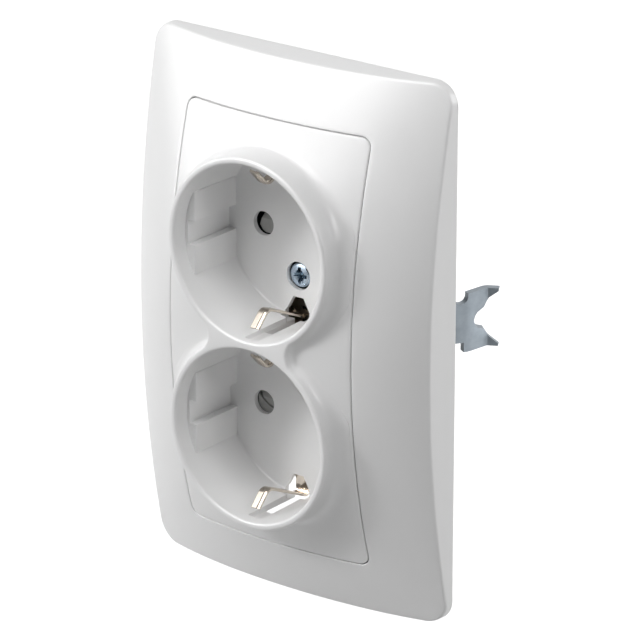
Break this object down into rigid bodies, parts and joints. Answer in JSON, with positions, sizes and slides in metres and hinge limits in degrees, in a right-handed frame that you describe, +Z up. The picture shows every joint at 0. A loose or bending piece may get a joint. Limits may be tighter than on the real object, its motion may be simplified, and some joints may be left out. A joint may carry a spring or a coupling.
{
  "type": "type f wall socket",
  "caption": "Upright type F wall socket with earthed wells in a crowned cover, shuttered pin holes, steel strap, round box base and spreader claws.",
  "frame": {"origin": "centre of the cover on the wall plane, midway between the two box screws", "axes": "+Y into the wall, face looks towards -Y, +Z up, +X to the right seen from the front"},
  "size_m": [0.08, 0.0491, 0.1224],
  "materials": {
    "frame_plastic": "satin gloss white moulding",
    "plate_plastic": "satin gloss white moulding",
    "base_plastic": "matt black moulding",
    "shutter_plastic": "matt grey moulding",
    "zinc_steel": "bright zinc plated sheet",
    "zinc_screw": "blue zinc plated",
    "nickel_brass": "nickel plated, bright",
    "contact_brass": "plain rolled",
    "spring_steel": "plain spring strip"
  },
  "bodies": {
    "socket": {"cover_frame": "frame_plastic", "centre_plate": "plate_plastic", "plate_screw": "zinc_screw", "plate_nut": "zinc_steel", "mounting_strap": "zinc_steel", "socket_base": "base_plastic", "rear_cover": "base_plastic", "earth_bar": "nickel_brass", "inner_earth_clips": "nickel_brass", "clip_rivets": "nickel_brass", "base_rivets": "zinc_steel", "terminal_spring_earth": "spring_steel", "contact_rail_left": "contact_brass", "contact_rail_right": "contact_brass", "terminal_spring_left": "spring_steel", "terminal_spring_right": "spring_steel", "shutter_spring_upper": "spring_steel", "shutter_spring_lower": "spring_steel"},
    "claw_left": {"claw_left": "zinc_steel"},
    "claw_right": {"claw_right": "zinc_steel"},
    "claw_screw_left": {"claw_screw_left": "zinc_screw"},
    "claw_screw_right": {"claw_screw_right": "zinc_screw"},
    "shutter_upper": {"shutter_upper": "shutter_plastic"},
    "shutter_lower": {"shutter_lower": "shutter_plastic"}
  },
  "joints": [
    {"name": "claw_screw_left_turn", "type": "hinge", "parent": "socket", "child": "claw_screw_left", "pos_m": [-0.0242, 0, 0], "axis": [0, 1, 0], "range_deg": [-1130, 280]},
    {"name": "claw_screw_right_turn", "type": "hinge", "parent": "socket", "child": "claw_screw_right", "pos_m": [0.0242, 0, 0], "axis": [0, 1, 0], "range_deg": [-1130, 280]},
    {"name": "claw_left_swing", "type": "hinge", "parent": "socket", "child": "claw_left", "pos_m": [-0.0197, 0.0056, 0], "axis": [0, 0, 1], "range_deg": [-24, 6]},
    {"name": "claw_right_swing", "type": "hinge", "parent": "socket", "child": "claw_right", "pos_m": [0.0197, 0.0056, 0], "axis": [0, 0, -1], "range_deg": [-24, 6]},
    {"name": "shutter_upper_turn", "type": "hinge", "parent": "socket", "child": "shutter_upper", "pos_m": [0, 0, 0.02073], "axis": [0, -1, 0], "range_deg": [0, 33], "stiffness_Nm_per_rad": 0.0003, "springref_deg": -11.46, "deforming": ["shutter_spring_upper"]},
    {"name": "shutter_lower_turn", "type": "hinge", "parent": "socket", "child": "shutter_lower", "pos_m": [0, 0, -0.02073], "axis": [0, -1, 0], "range_deg": [0, 33], "stiffness_Nm_per_rad": 0.0003, "springref_deg": -11.46, "deforming": ["shutter_spring_lower"]}
  ],
  "couplings": [
    {"joint": "claw_left_swing", "follows": "claw_screw_left_turn", "ratio": 0.0212},
    {"joint": "claw_right_swing", "follows": "claw_screw_right_turn", "ratio": 0.0212}
  ]
}
